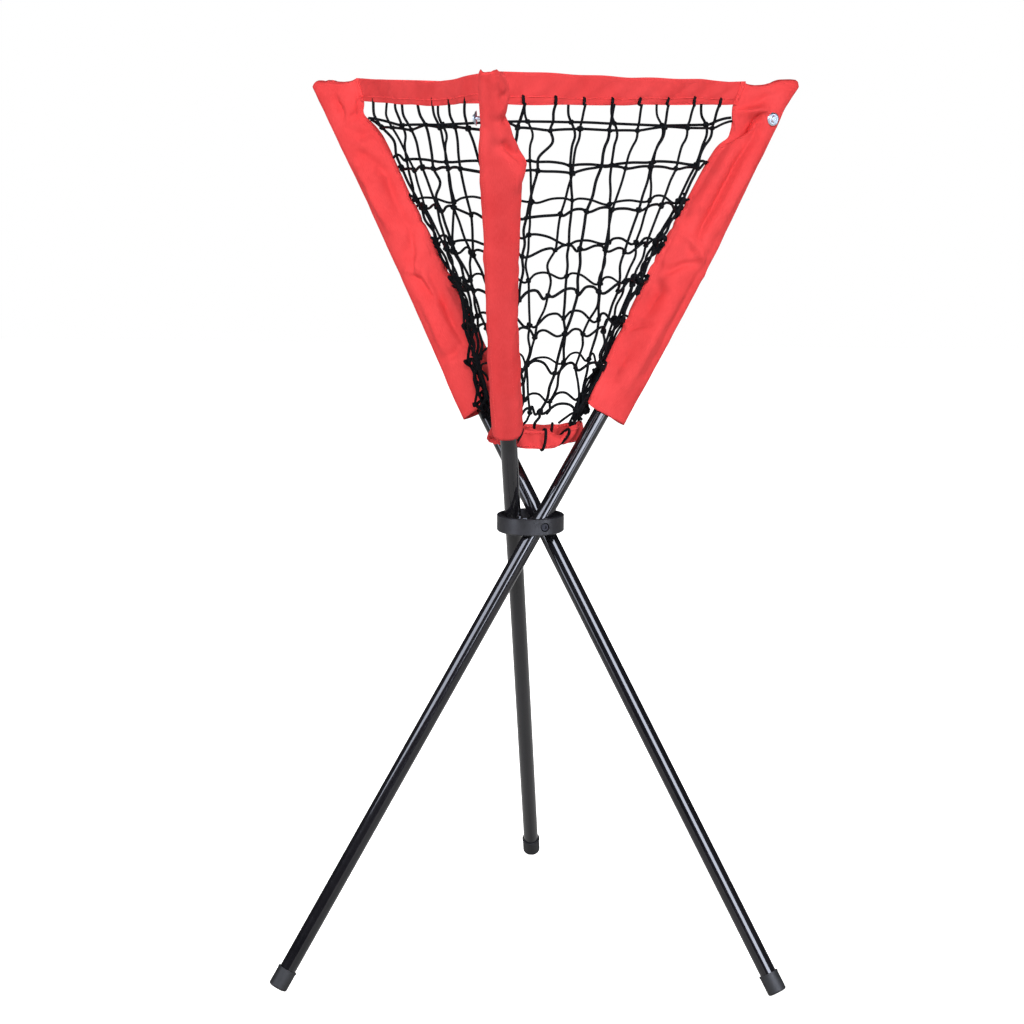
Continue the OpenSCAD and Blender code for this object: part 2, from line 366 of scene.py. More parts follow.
def braided_cord():
    """Black braided nylon cord, its strands winding both ways."""
    m = Shader("net_cord")
    _, along, around = m.uv()
    run = m.math("MULTIPLY", along, math.tau / CORD_LAY)
    turn = m.math("MULTIPLY", around, math.tau * 3)
    one = m.math("SINE", m.math("ADD", run, turn))
    two = m.math("SINE", m.math("SUBTRACT", run, turn))
    strands = m.math("MAXIMUM", one, two)
    dust = m.noise(300, 3)
    return m.set(
        Base_Color=m.mix(m.ramp(dust, 0, 1, 0.3, 0.75), rgb(0.0015, 0.002, 0.003), rgb(0.006, 0.007, 0.009)),
        Roughness=m.ramp(dust, 0.65, 0.85),
        Normal=m.bump(strands, 0.00028, 0.7),
        Specular_IOR_Level=0.1,
    )


THREAD_LAY = 0.0012  # length of one turn of the sewing thread, m


def sewing_thread():
    """Twisted red sewing thread, a little lighter than the cloth."""
    m = Shader("seam_thread")
    _, along, around = m.uv()
    turn = m.math("MULTIPLY", around, math.tau)
    twist = m.math("SINE", m.math("MULTIPLY_ADD", along, math.tau / THREAD_LAY, turn))
    return m.set(
        Base_Color=m.mix(m.ramp(twist, 0, 1, -1, 1), rgb(0.72, 0.035, 0.04), rgb(0.9, 0.1, 0.1)),
        Roughness=0.6,
        Normal=m.bump(twist, 0.00008, 0.6),
        Specular_IOR_Level=0.2,
    )


PAINT = gloss_paint()
RING = moulded_plastic("ring_plastic", (0.012, 0.012, 0.015), (0.022, 0.022, 0.027), (0.3, 0.44))
SADDLE = moulded_plastic("saddle_plastic", (0.012, 0.012, 0.012), (0.022, 0.022, 0.022))
RUBBER = moulded_plastic("cap_rubber", (0.008, 0.008, 0.009), (0.018, 0.018, 0.02), (0.5, 0.72), 500)
SCREW = metal("black_screw", (0.035, 0.035, 0.04), 0.3)
STEEL = metal("nut_steel", (0.5, 0.51, 0.53), 0.26)
BRIGHT = metal("bright_steel", (0.74, 0.84, 0.92), 0.28, 0.05)
FABRIC = woven_fabric("red_fabric", (0.66, 0.045, 0.047), (0.83, 0.08, 0.083))
CORD = braided_cord()
THREAD_RED = sewing_thread()

CAD_MATERIALS = {
    "hub_ring": RING,
    "pivot_screw": SCREW,
    "pivot_nut": STEEL,
    "outer_saddle": SADDLE,
    "inner_saddle": SADDLE,
    "leg_tube": PAINT,
    "foot_cap": RUBBER,
    "tube_plug": SADDLE,
    "rivet_washer": BRIGHT,
    "sleeve_rivet": BRIGHT,
}
for node_name, node in frame["nodes"].items():
    for prefix, material in CAD_MATERIALS.items():
        if node_name.startswith(prefix):
            for material_slot in node.material_slots:
                material_slot.material = material

# ---------------------------------------------------------------- sleeves

WALL = 1.1  # thickness of the cloth, mm
AROUND, LEVELS = 144, 172  # points round a sleeve and up it
SLEEVE_GIRTH, SLEEVE_LENGTH = 0.125, 0.375  # flat size of its cloth, m

# inner (basket side) and outer edges of each sleeve, mm across the tube, by mm up the tube
INNER_EDGE = {
    "a": [
        (126, -18.5), (185, -23), (240, -27), (295, -31), (350, -31.5), (396, -32.6), (411, -31.6),
        (419, -29), (426, -24.6), (433, -26.4), (447, -34), (455, -38.5), (480, -42.5), (520, -44),
    ],
    "b": [
        (126, -33), (183, -37), (240, -37.7), (320, -38.2), (357, -38.5), (377, -39.8), (400, -41.2),
        (417, -41.2), (430, -38.6), (443, -33.6), (450, -32.6), (456, -38.5), (481, -46.6), (520, -49),
    ],
    "c": [
        (126, -18.5), (185, -23), (240, -27), (295, -30), (350, -32), (405, -33), (440, -33), (452, -33.5),
        (466, -40), (480, -44), (520, -47),
    ],
}
OUTER_EDGE = {
    "a": [
        (126, 27.5), (156, 26.7), (213, 25.4), (270, 24), (326, 21.8), (382, 17.8), (437, 13.8), (462, 13.2),
        (482, 10.9), (498, 12), (512, 14),
    ],
    "b": [
        (126, 25.6), (149, 25), (204, 20.8), (260, 17.4), (316, 14.2), (373, 11.4), (432, 10.2), (479, 10),
        (500, 10.2), (512, 11.5),
    ],
    "c": [
        (126, 25), (185, 24), (240, 21.5), (295, 19), (350, 15.5), (405, 13.5), (450, 12), (485, 11.5),
        (520, 13),
    ],
}
# half thickness towards the outside and towards the basket's middle, mm, by mm up the tube
OUTSIDE_HALF = {
    "a": [
        (126, 10.6), (145, 11.6), (180, 14.5), (215, 15), (330, 14.5), (380, 14), (422, 13), (452, 12),
        (475, 11), (520, 10),
    ],
    "b": [
        (126, 14), (156, 14.5), (215, 15), (330, 13.5), (380, 12.5), (422, 11), (452, 10.5), (475, 10.5),
        (520, 10),
    ],
    "c": [
        (126, 14), (156, 14.5), (215, 15), (330, 13.5), (380, 13), (432, 12.4), (450, 11.6), (459, 10.2),
        (468, 9.6), (480, 10.4), (492, 10.4), (520, 9),
    ],
}
INSIDE_HALF = {
    "a": [(126, 11), (145, 12), (180, 14), (215, 14), (330, 15), (422, 15), (452, 13), (475, 11), (520, 10)],
    "b": [
        (126, 14.5), (156, 14.5), (215, 14.5), (330, 15.5), (400, 15.5), (430, 14.5), (452, 13), (475, 12),
        (520, 10),
    ],
    "c": [
        (126, 14.5), (156, 15), (215, 13.5), (273, 15), (330, 20), (365, 22.6), (392, 25), (406, 28.4),
        (413, 28), (424, 23), (438, 17), (449, 14), (459, 11.4), (465, 12.4), (474, 15), (486, 14), (520, 10),
    ],
}
# height of each sleeve's top edge against the nominal basket top, mm, by mm across the tube
TOP_EDGE = {
    "a": [
        (-50, 3.5), (-42.6, 3), (-37, 0.4), (-30, -0.6), (-21, 0), (-14, 2.6), (-9, 4.6), (1, 5), (8, 4.4),
        (11, 1.5), (14, -3),
    ],
    "b": [
        (-50, 6.5), (-45, 6), (-38, 3.4), (-28, 2.6), (-18, 3.2), (-11, 4.4), (-6, 2.6), (-1, 4.2), (5, 2.6),
        (9, -0.6), (12, -3),
    ],
    "c": [(-50, 5.5), (-40, 5.6), (-28, 4.8), (-16, 5.2), (-6, 6.2), (2, 5.4), (9, 4.6), (13, 2.6)],
}
PINCH = 20.0  # mm below the top edge where the two faces start to close
MOUTH = {"a": 2.0, "b": 2.2, "c": 7.5}  # half gap left at the very top, mm

# soft folds: face (+1 outer, -1 basket side), course through (x, s), reach left and right of it, depth; mm
FOLDS = {
    "a": [
        (1, [(-33, 413), (-26, 424), (-19, 440), (-13, 456)], 7.0, 2.0, 8.0),
        (1, [(-38, 446), (-24, 457), (-12, 467), (-3, 466)], 4.0, 4.0, -3.2),
        (1, [(-40, 455), (-24, 470), (-6, 486)], 7.0, 6.0, 3.2),
        (1, [(-8, 448), (-9, 428), (-10, 408), (-8, 370), (-9, 337), (-6, 310)], 5.0, 6.5, 4.4),
        (1, [(-20, 424), (-20, 399), (-21, 370), (-20, 330)], 6.0, 5.0, -3.0),
        (1, [(4, 440), (5, 400), (6, 340)], 5.0, 6.0, -1.6),
        (1, [(-30, 321), (-12, 317), (8, 306), (18, 296)], 5.0, 5.0, -2.6),
        (1, [(-28, 272), (-14, 257), (-16, 235), (-22, 216)], 6.0, 5.0, 4.2),
        (1, [(-30, 221), (-20, 214), (-8, 224)], 3.0, 3.0, 2.6),
        (1, [(-30, 281), (-20, 276), (-8, 292), (4, 300)], 4.0, 4.0, 2.4),
        (1, [(4, 262), (3, 234), (1, 206), (4, 160)], 6.0, 6.0, -2.2),
        (1, [(-12, 198), (-14, 180), (-13, 160)], 6.0, 6.0, 3.6),
        (1, [(12, 330), (16, 260), (17, 180)], 4.0, 5.0, 1.8),
        (-1, [(-30, 440), (0, 460)], 6.0, 6.0, 3.0),
        (-1, [(-14, 420), (-8, 320), (-10, 200)], 8.0, 8.0, 3.4),
        (-1, [(6, 400), (10, 300), (8, 170)], 6.0, 6.0, -1.8),
    ],
    "b": [
        (-1, [(-14, 476), (-13, 458)], 4.0, 5.0, 3.4),
        (-1, [(-40, 462), (-30, 452), (-22, 450)], 3.0, 5.0, 2.6),
        (-1, [(-42, 432), (-34, 427), (-26, 428), (-16, 440)], 6.0, 6.0, 3.2),
        (-1, [(-17, 410), (-26, 394), (-31, 381), (-27, 362), (-25, 345), (-25, 326)], 8.0, 6.0, 4.6),
        (-1, [(-2, 408), (-8, 382), (-6, 360), (-8, 330)], 6.0, 6.0, -3.0),
        (-1, [(-29, 322), (-20, 306), (-16, 290)], 5.0, 5.0, 3.0),
        (-1, [(-20, 290), (-10, 276), (-2, 284)], 4.0, 4.0, -2.6),
        (-1, [(-12, 300), (-6, 276), (-10, 250), (-22, 236)], 6.0, 6.0, 3.0),
        (-1, [(-24, 268), (-22, 240), (-20, 214), (-22, 190)], 5.0, 7.0, 4.6),
        (-1, [(-2, 250), (-2, 220), (2, 180)], 6.0, 6.0, -2.2),
        (-1, [(-22, 192), (-6, 186), (10, 188)], 4.0, 4.0, 1.6),
        (1, [(-14, 420), (-8, 320), (-10, 200)], 8.0, 8.0, 3.4),
        (1, [(-40, 446), (-20, 458), (-4, 470)], 5.0, 5.0, 3.6),
    ],
    "c": [
        (-1, [(14, 470), (4, 463), (-8, 456), (-20, 452)], 3.0, 4.0, 3.6),
        (-1, [(16, 446), (6, 440), (-4, 424), (-12, 420)], 5.0, 5.0, 5.5),
        (-1, [(-12, 400), (-8, 340), (-10, 300)], 7.0, 7.0, 3.0),
        (1, [(14, 462), (0, 459), (-16, 454)], 3.0, 3.5, 2.4),
        (1, [(-40, 446), (-20, 458), (-4, 470)], 5.0, 5.0, 3.4),
        (1, [(-10, 410), (-8, 340), (-8, 250)], 8.0, 8.0, 2.6),
        (-1, [(6, 496), (2, 486), (-8, 480)], 5.0, 4.0, 4.5),
    ],
}
RIVET_AT = 464.0  # up the tube from the pivot, mm
RIVET_SEAT = 11.8  # the cloth stays under the cup washer, mm off the tube's axis
SLANT = {"a": 4.5, "b": 0.0, "c": 0.0}  # how much higher the bottom edge is on the basket side, mm
FOLD_GAIN = {"a": 2.3, "b": 2.1, "c": 1.5}  # how many times deeper than listed each sleeve's folds are
FULL_ACROSS, FULL_OUT = 0.82, 0.8  # powers that make the section fuller than an ellipse
EDGE_TAPER = 0.5  # share of its thickness that a sleeve loses at its basket-side edge
EDGE_IN = 3.5  # how far that edge is drawn into the basket, mm
GROOVE_AT, GROOVE_DEEP = 4.2, 0.8  # the seam's groove: how far in from the edge, and its depth, mm
TUBE_ROOM = 8.6  # the cloth stays this far off the tube's axis, mm
HEM_FLARE, HEM_WAVE = 0.48, 1.0  # how far the bottom edge opens and rises and falls, mm
PUCKERS = (208, 221, 262, 281, 320, 344)  # mm up the tube where the net's cords pull the inner edge in


def table_at(table, s, spread=3.0):
    """The value at s in a short table of (s, value), averaged over spread to either side."""
    xs, ys = np.array(table, float).T
    return sum(np.interp(np.asarray(s) + shift * spread, xs, ys) for shift in (-1, -0.5, 0, 0.5, 1)) / 5


def fold_depth(name, side, x, s):
    """How far the cloth is pushed in by the soft folds at (x, s) on one face, mm."""
    depth = np.zeros(np.broadcast(x, s).shape)
    for face, course, left, right, deep in FOLDS[name]:
        course = np.array(course, float)
        spans = np.linalg.norm(np.diff(course, axis=0), axis=1)
        run = np.concatenate([[0], np.cumsum(spans)]) / spans.sum()
        nearest = np.full(depth.shape, 1e9)
        value = np.zeros(depth.shape)
        for k, (a, b) in enumerate(zip(course, course[1:])):
            d = b - a
            t = np.clip(((x - a[0]) * d[0] + (s - a[1]) * d[1]) / (d @ d), 0, 1)
            dx, ds = x - a[0] - t * d[0], s - a[1] - t * d[1]
            gap = np.hypot(dx, ds)
            turned = d[0] * ds - d[1] * dx
            reach = right + (left - right) * smooth(0.5 + turned / (np.linalg.norm(d) * 2.0))
            along = run[k] + t * (run[k + 1] - run[k])
            fade = 0.35 + 0.65 * np.sin(math.pi * np.clip(along, 0.08, 0.92))
            closer = gap < nearest
            value = np.where(closer, deep * fade * np.exp(-((gap / reach) ** 2)), value)
            nearest = np.minimum(nearest, gap)
        depth += np.where(side == face, value, 0)
    return FOLD_GAIN[name] * depth


def ripple(name, angle, s):
    """Low broad unevenness of the cloth, mm."""
    k = LEGS.index(name)
    waves = [(1, 57, 0.6), (2, 83, 0.55), (3, 41, 0.4), (5, 29, 0.22), (4, 131, 0.5)]
    total = 0
    for i, (turns, length, size) in enumerate(waves):
        phase = 1.7 * k + 2.3 * i
        total = total + size * np.sin(turns * angle + math.tau * s / length + phase) * np.cos(
            math.tau * s / (length * 1.9) + phase * 0.7
        )
    return total


def sleeve_section(name, angle, v, inset=0.0):
    """Leg coordinates (x, o, s) of a sleeve's cloth, mm, at an angle round it and a share v of its height."""
    co, si = np.cos(angle), np.sin(angle)
    ux = np.sign(co) * np.abs(co) ** FULL_ACROSS
    uo = np.sign(si) * np.abs(si) ** FULL_OUT
    # the top edge's height depends on x and x on s, so both are found by repetition
    s = SLEEVE_START + v * (BASKET_TOP / COS - SLEEVE_START)
    for _ in range(5):
        left, right = table_at(INNER_EDGE[name], s), table_at(OUTER_EDGE[name], s)
        left = left + sum(1.5 * np.exp(-(((s - at) / 3.2) ** 2)) for at in PUCKERS)
        middle, half = (left + right) / 2, (right - left) / 2
        x = middle + half * ux
        top = (BASKET_TOP + table_at(TOP_EDGE[name], x, 2.0) + x * SIN) / COS
        s = SLEEVE_START + v * (top - SLEEVE_START)
    side = np.where(si >= 0, 1, -1)
    h = np.where(si >= 0, table_at(OUTSIDE_HALF[name], s), table_at(INSIDE_HALF[name], s))
    inner_taper = 1 - EDGE_TAPER * smooth((-ux - 0.1) / 0.9)
    # the two faces close towards the top edge
    below = top - s
    close = np.sqrt(np.clip(1 - (1 - np.clip(below / PINCH, 0, 1)) ** 2, 0, 1))
    mouth = MOUTH[name]
    o = uo * (mouth + (h * inner_taper - mouth) * close)
    o = o - EDGE_IN * smooth((-ux + 0.1) / 1.1) * np.clip((s - SLEEVE_START) / 60, 0, 1)
    # folds, ripples and the seam push the cloth towards the section's middle
    fold = fold_depth(name, side, x, s) * np.abs(uo) ** 0.5 + ripple(name, angle, s) * np.abs(si)
    fold = fold * smooth(below / 10 + 0.2) * smooth((s - SLEEVE_START) / 26 + 0.25)
    fold = fold + GROOVE_DEEP * np.exp(-(((x - left - GROOVE_AT) / 1.3) ** 2)) * (below > 2)
    size = np.hypot(ux * half, o) + 1e-9
    o = o - fold * o / size
    x = x - fold * (ux * half) / size * 0.6
    # the cloth lies under the rivet's washer and clear of the tube
    seat = np.exp(-(((x**2 + (s - RIVET_AT) ** 2) / 70) ** 2))
    o = np.where(o > RIVET_SEAT, RIVET_SEAT + (o - RIVET_SEAT) * (1 - seat), o)
    near_tube = np.exp(-((x / 9.0) ** 4)) * (below > 11)
    room = (TUBE_ROOM + 0.3 * np.abs(uo)) * near_tube
    o = np.where(np.abs(o) < room, side * room, o)
    # the bottom edge opens a little and is not quite level
    rise = s - SLEEVE_START
    o = o + side * np.abs(uo) * HEM_FLARE * np.exp(-((rise / 5.0) ** 2))
    wave = HEM_WAVE * np.sin(angle * 2 + LEGS.index(name)) * np.exp(-((rise / 14.0) ** 2))
    s = s + wave * (1 - v) + SLANT[name] * 0.5 * (1 - uo) * np.exp(-((rise / 20.0) ** 2))
    if inset:
        scale = 1 - inset / size
        x, o = middle + (x - middle) * scale, o * scale
    return x, o, s


def sleeve_surface(name, angle, v, inset=0.0):
    return leg_point(name, *sleeve_section(name, angle, v, inset))


STITCH_PITCH, STITCH_LENGTH, STITCH_RADIUS, STITCH_PROUD = 0.0036, 0.0026, 0.00042, 0.0002  # m


def stitch_run(builder, path, outward, weights=None):
    """Small stitches laid along a path on a surface, each dipping in at its ends."""
    run = run_along(path)
    for start in np.arange(STITCH_PITCH, run[-1] - STITCH_PITCH, STITCH_PITCH):
        at = start + np.linspace(0, STITCH_LENGTH, 5)
        p = np.stack([np.interp(at, run, path[:, k]) for k in range(3)], axis=1)
        n = np.stack([np.interp(at, run, outward[:, k]) for k in range(3)], axis=1)
        n /= np.linalg.norm(n, axis=1)[:, None] + 1e-12
        lift = np.array([-0.9, 0.35, 0.8, 0.35, -0.9]) * STITCH_RADIUS + STITCH_PROUD
        thickness = STITCH_RADIUS * np.array([0.7, 1, 1.05, 1, 0.7])
        w = None if weights is None else np.interp(at, run, weights)
        add_tube(builder, p + n * lift[:, None], thickness, 5, w)


def sleeve_stitches(name, builder):
    """Stitching round the bottom hem, up the two edges of each face and along both faces at the top."""

    def run(angle, v):
        da, dv = 0.02, 0.004
        p = sleeve_surface(name, angle, v)
        above, below = np.clip(v + dv, 0, 1), np.clip(v - dv, 0, 1)
        along = sleeve_surface(name, angle, above) - sleeve_surface(name, angle, below)
        across = sleeve_surface(name, angle + da, v) - sleeve_surface(name, angle - da, v)
        n = np.cross(across, along)
        n /= np.linalg.norm(n, axis=1)[:, None]
        stitch_run(builder, p, n)

    around = np.linspace(0.02, math.tau - 0.02, 200)
    run(around, np.full(200, 0.011))
    up = np.linspace(0.02, 0.93, 300)
    for corner in (math.pi - 0.42, math.pi + 0.42, 0.62, -0.62):
        run(np.full(300, corner), up)
    top = np.linspace(0.35, math.pi - 0.3, 60)
    run(top, np.full(60, 0.988))
    run(-top, np.full(60, 0.988))


def make_sleeve(name):
    """The cloth of one sleeve, open at both ends, with its stitching."""
    angle = np.arange(AROUND) / AROUND * math.tau
    share = np.linspace(0, 1, LEVELS)
    grid_v, grid_a = np.meshgrid(share, angle, indexing="ij")
    outer = sleeve_surface(name, grid_a, grid_v)
    inner = sleeve_surface(name, grid_a, grid_v, WALL)
    verts = np.concatenate([outer, inner[::-1]]).reshape(-1, 3)
    rows = LEVELS * 2
    faces, corners = grid_faces(rows, AROUND, wrap_rows=True, wrap_columns=True)
    cloth_length = 1.1 * (BASKET_TOP / COS - SLEEVE_START) * MM
    run = np.array([cloth_length * min(r, rows - r) / LEVELS for r in range(rows + 1)])
    uvs = [[(c / AROUND * SLEEVE_GIRTH, run[r]) for r, c in quad] for quad in corners]
    body = Builder()
    body.add(verts, faces, uvs)
    sleeve = body.build(f"Sleeve_{name}", FABRIC)
    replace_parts(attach(sleeve, f"leg_{name}"), f"sleeve_{name}")
    thread = Builder()
    sleeve_stitches(name, thread)
    stitches = thread.build(f"Sleeve_Stitching_{name}", THREAD_RED)
    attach(stitches, f"leg_{name}")


for leg in LEGS:
    make_sleeve(leg)

# ---------------------------------------------------------------- edges that the cloth and net hang from

# below a height the gathered net leaves a sleeve's edge: that height, over how much fall it does so,
# and how far it ends up towards the tube and into the basket, mm
LACE = {"a": (250, 130, 13, 15), "b": (240, 165, 24, 15), "c": (250, 130, 2, 1)}


def inner_edge_point(name, z, off=0.0, laced=False):
    """Point on a sleeve's basket-side edge at a height above the pivots, mm.
    off moves it into the basket; laced follows the gathered net where it leaves the edge."""
    z = np.asarray(z, float)
    s = np.linspace(50, 520, 400)
    x = table_at(INNER_EDGE[name], s, 6.0)
    heights = s * COS - x * SIN
    s_at = np.interp(z, heights, s)
    x_at = np.interp(z, heights, x)
    start, run, across, inward = LACE[name]
    drift = smooth((start - z) / run) if laced else 0.0 * z
    shift = across * drift
    return leg_point(name, x_at - off + shift, -3.0 - inward * drift, s_at + shift * SIN / COS)


def panel_axes(panel):
    """Outward horizontal normal of a panel and its two legs."""
    near, far = panel
    mid = inner_edge_point(near, np.array(300.0)) + inner_edge_point(far, np.array(300.0))
    out = mid * [1, 1, 0]
    return near, far, out / np.linalg.norm(out)


def side_weight(u, near_side):
    """Blend weight of a point at share u across a panel: 0 at the middle, 1 at the sleeve."""
    t = (0.5 - u) / 0.5 if near_side else (u - 0.5) / 0.5
    return smooth(np.clip(t, 0, 1) * 1.04)


def hang(piece, stands_for):
    """Bakes a half panel's placement into its mesh and hides the CAD parts that it stands for."""
    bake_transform(piece)
    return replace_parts(piece, *stands_for)


# ---------------------------------------------------------------- bands

BAND_COLUMNS = 64  # in each half, closer together towards the sleeve
BAND_THICK = 2.6
BAND_POINTS = 15  # across one face of a band
BAND_SPREAD = 0.012  # share of the panel over which the two tables below are averaged
# height of each band's top edge against the nominal basket top, and its depth, mm, by share of the panel
BAND_TOP = {
    "ab": [(0, 3.2), (0.06, 2.2), (0.5, 1.5), (0.85, 4), (1, 5.6)],
    "bc": [
        (0, 6.3), (0.03, 5.8), (0.2, 3.6), (0.45, 0.4), (0.62, -0.6), (0.75, 1.6), (0.9, 5), (1, 5.6),
    ],
    "ca": [(0, 5.8), (0.15, 6), (0.5, 4), (0.8, 4), (0.93, 2.2), (0.985, 2.4), (1, 3.4)],
}
BAND_DEPTH = {
    "ab": [(0, 22), (1, 22)],
    "bc": [(0, 23), (0.5, 22), (0.8, 22), (1, 24)],
    "ca": [(0, 26.5), (0.3, 26.5), (0.55, 25), (0.9, 22.5), (1, 22)],
}


def half_shares(columns, near_side, crowd=1.0):
    """Shares across one half of a panel, closer together at its sleeve."""
    u = 0.5 * np.linspace(0, 1, columns) ** crowd
    return u if near_side else 1 - u[::-1]


def band_depth(panel, u):
    return table_at(BAND_DEPTH[panel], u, BAND_SPREAD)


def band_point(panel, u, down, away=0.0):
    """Point on a band: u across the panel, down as a share of its depth, away outward in mm."""
    near, far, out = panel_axes(panel)
    k = PANELS.index(panel)
    top = table_at(BAND_TOP[panel], u, BAND_SPREAD) + 0.4 * np.sin(31 * u + k) * np.sin(math.pi * u)
    depth = band_depth(panel, u)
    z = BASKET_TOP + top - down * depth
    level = np.clip(z, 60, BASKET_TOP + 6)
    a, b = inner_edge_point(near, level, -3.0), inner_edge_point(far, level, -3.0)
    p = a + (b - a) * u[..., None]
    sway = 1.6 * np.sin(math.pi * u) * np.sin(7 * u + k) + 0.5 * np.sin(23 * u + 2 * k)
    lean = np.tan(np.radians(3 * np.sin(9 * u + k))) * down * depth
    p = p + out * ((sway + away - lean) * MM)[..., None]
    p[..., 2] = AXES[near]["pivot"][2] + z * MM
    return p


def panel_width(panel, z):
    """Distance between a panel's two sleeve edges at a height, mm."""
    near, far, _ = panel_axes(panel)
    return float(np.linalg.norm(inner_edge_point(far, z) - inner_edge_point(near, z)) / MM)


def band_relief(panel, u, down):
    """Puckers over the hem, buckles, and the seam where the band meets each sleeve, mm outward."""
    k = PANELS.index(panel)
    depth = band_depth(panel, u)
    pucker = 0.6 * np.sin(math.tau * u * 9.5 + k) * np.exp(-(((down * depth - depth + 3) / 5.0) ** 2))
    buckle = 1.1 * np.sin(17 * u + 2 * k) * np.sin(math.pi * u) * np.sin(math.pi * down)
    pull = 0.5 * np.sin(61 * u + 5 * down + k) * np.sin(math.pi * down)
    wide = panel_width(panel, BASKET_TOP - 8)
    seam = np.minimum(u, 1 - u) * wide
    welt = 1.5 * np.exp(-(((seam - 4.6) / 1.2) ** 2)) - 1.1 * np.exp(-(((seam - 7.4) / 1.0) ** 2))
    return pucker + buckle + pull + welt


def band_swell(down, depth):
    """Half thickness of a band, folded double at the top and turned up into a hem at the bottom, mm."""
    below_stitch = smooth((down * depth - depth + 6.4) / 1.2)
    return BAND_THICK / 2 * (0.85 + 0.3 * np.sin(math.pi * down)) - 0.35 * below_stitch


def strip_faces(rows, count, lengths, section_run):
    """Faces and UVs of a closed strip: rows along it, count points round it, and a cap at each end."""
    faces, corners = grid_faces(rows, count, wrap_columns=True)
    uvs = [[(lengths[r], section_run[c]) for r, c in quad] for quad in corners]
    faces += [list(range(count)), [(rows - 1) * count + i for i in reversed(range(count))]]
    cap = [(0, section_run[i]) for i in range(count)]
    uvs += [cap, cap[::-1]]
    return [f[::-1] for f in faces], [q[::-1] for q in uvs]


def both_faces(share):
    """Shares across a strip, out on one face and back on the other, and which face each point is on."""
    return np.concatenate([share, share[::-1]]), np.repeat([1.0, -1.0], len(share))


def hang_strip(kind, panel, near_side, u, verts, lengths, measured_row, thread):
    count = verts.shape[1]
    section = run_along(np.vstack([verts[measured_row], verts[measured_row][:1]]))
    faces, uvs = strip_faces(len(u), count, lengths, section)
    weights = np.repeat(side_weight(u, near_side), count)
    body = Builder()
    body.add(verts.reshape(-1, 3), faces, uvs, weights)
    leg_name = panel[0] if near_side else panel[1]
    piece = body.build(f"{kind}_Band_{panel}_{leg_name}", FABRIC, 50)
    hang(piece, [f"{kind.lower()}_band_{panel}"])
    stitches = thread.build(f"{kind}_Stitching_{panel}_{leg_name}", THREAD_RED)
    hang(stitches, [])


def make_rim_half(panel, near_side):
    """Half of a rim band, with a row of stitches above its hem and two up its seam, on both faces."""
    _, _, out = panel_axes(panel)
    u = half_shares(BAND_COLUMNS, near_side, 1.7)
    down, face = both_faces(np.linspace(0, 1, BAND_POINTS))
    grid_u, grid_d = np.meshgrid(u, down, indexing="ij")
    depth = band_depth(panel, grid_u)
    round_off = np.clip(np.minimum(grid_d, 1 - grid_d) * depth / 1.1, 0, 1) ** 0.5
    swell = band_swell(grid_d, depth) * (0.35 + 0.65 * round_off)
    verts = band_point(panel, grid_u, grid_d, band_relief(panel, grid_u, grid_d) + face * swell)
    thread = Builder()
    for side in (1, -1):
        depth = band_depth(panel, u)
        level = 1 - 5.6 / depth
        line = band_point(panel, u, level, band_relief(panel, u, level) + side * band_swell(level, depth))
        stitch_run(thread, line, np.tile(out * side, (len(u), 1)), weights=side_weight(u, near_side))
        for gap in (3.0, 6.0):
            seam = gap / panel_width(panel, BASKET_TOP - 8)
            seam = np.full(24, seam if near_side else 1 - seam)
            fall = np.linspace(0.03, 0.97, 24)
            line = band_point(panel, seam, fall, band_relief(panel, seam, fall) + side * BAND_THICK / 2)
            stitch_run(thread, line, np.tile(out * side, (24, 1)), weights=side_weight(seam, near_side))
    hang_strip("Rim", panel, near_side, u, verts, run_along(verts[:, 0]), len(u) // 2, thread)


for panel in PANELS:
    for near_side in (True, False):
        make_rim_half(panel, near_side)

# ---------------------------------------------------------------- hem strips

HEM_COLUMNS, HEM_POINTS = 61, 13  # along a half strip, and across one of its faces
HEM_SAG = 5.0  # how far a strip hangs down in its middle, mm
HEM_PINCH = 0.5  # share of their width the strips lose at leg b
HEM_REACH = {"a": 8.0, "b": -3.0, "c": 2.0}  # how far a strip runs past the gathered net towards the tube, mm
# turn of each hem strip about its own length at shares of its run, degrees
HEM_TWIST = {
    "ab": [(0, 10), (0.3, 22), (0.6, 8), (1, 15)],
    "bc": [(0, 40), (0.3, 74), (0.7, 70), (1, 30)],
    "ca": [(0, -12), (0.3, -4), (0.44, 4), (0.54, 60), (0.64, 150), (0.85, 172), (1, 180)],
}


def hem_path(panel, u):
    """Centre line of a hem strip, and its panel's outward normal."""
    near, far, out = panel_axes(panel)
    level = np.full_like(u, HEM_TOP - HEM_DEEP / 2)
    a, b = (inner_edge_point(leg, level, -HEM_REACH[leg], True) for leg in (near, far))
    p = a + (b - a) * u[:, None]
    p = p + out * (MM * 6 * np.sin(math.pi * u))[:, None]
    p[:, 2] = AXES[near]["pivot"][2] + MM * (HEM_TOP - HEM_DEEP / 2 - HEM_SAG * np.sin(math.pi * u) ** 0.8)
    return p, out


def hem_frame(panel, u):
    """Centre line of a hem strip with its face normal and its width direction after twisting."""
    path, out = hem_path(panel, u)
    tangents, _, _ = frames_along(path)
    side = np.cross(tangents, UP)
    side /= np.linalg.norm(side, axis=1)[:, None]
    side *= np.sign(side @ out)[:, None]
    rise = np.cross(side, tangents)
    rise *= np.sign(rise[:, 2])[:, None]
    turn = np.radians(table_at(HEM_TWIST[panel], u, 0.05))[:, None]
    normal = side * np.cos(turn) + rise * np.sin(turn)
    width = rise * np.cos(turn) - side * np.sin(turn)
    return path, normal, width


def hem_cup(panel, u, across):
    """How far a strip's face is cupped and rippled, mm."""
    k = PANELS.index(panel)
    return 2.2 * (1 - across**2) * np.sin(11 * u + k) + 0.7 * np.sin(31 * u + 3 * across)


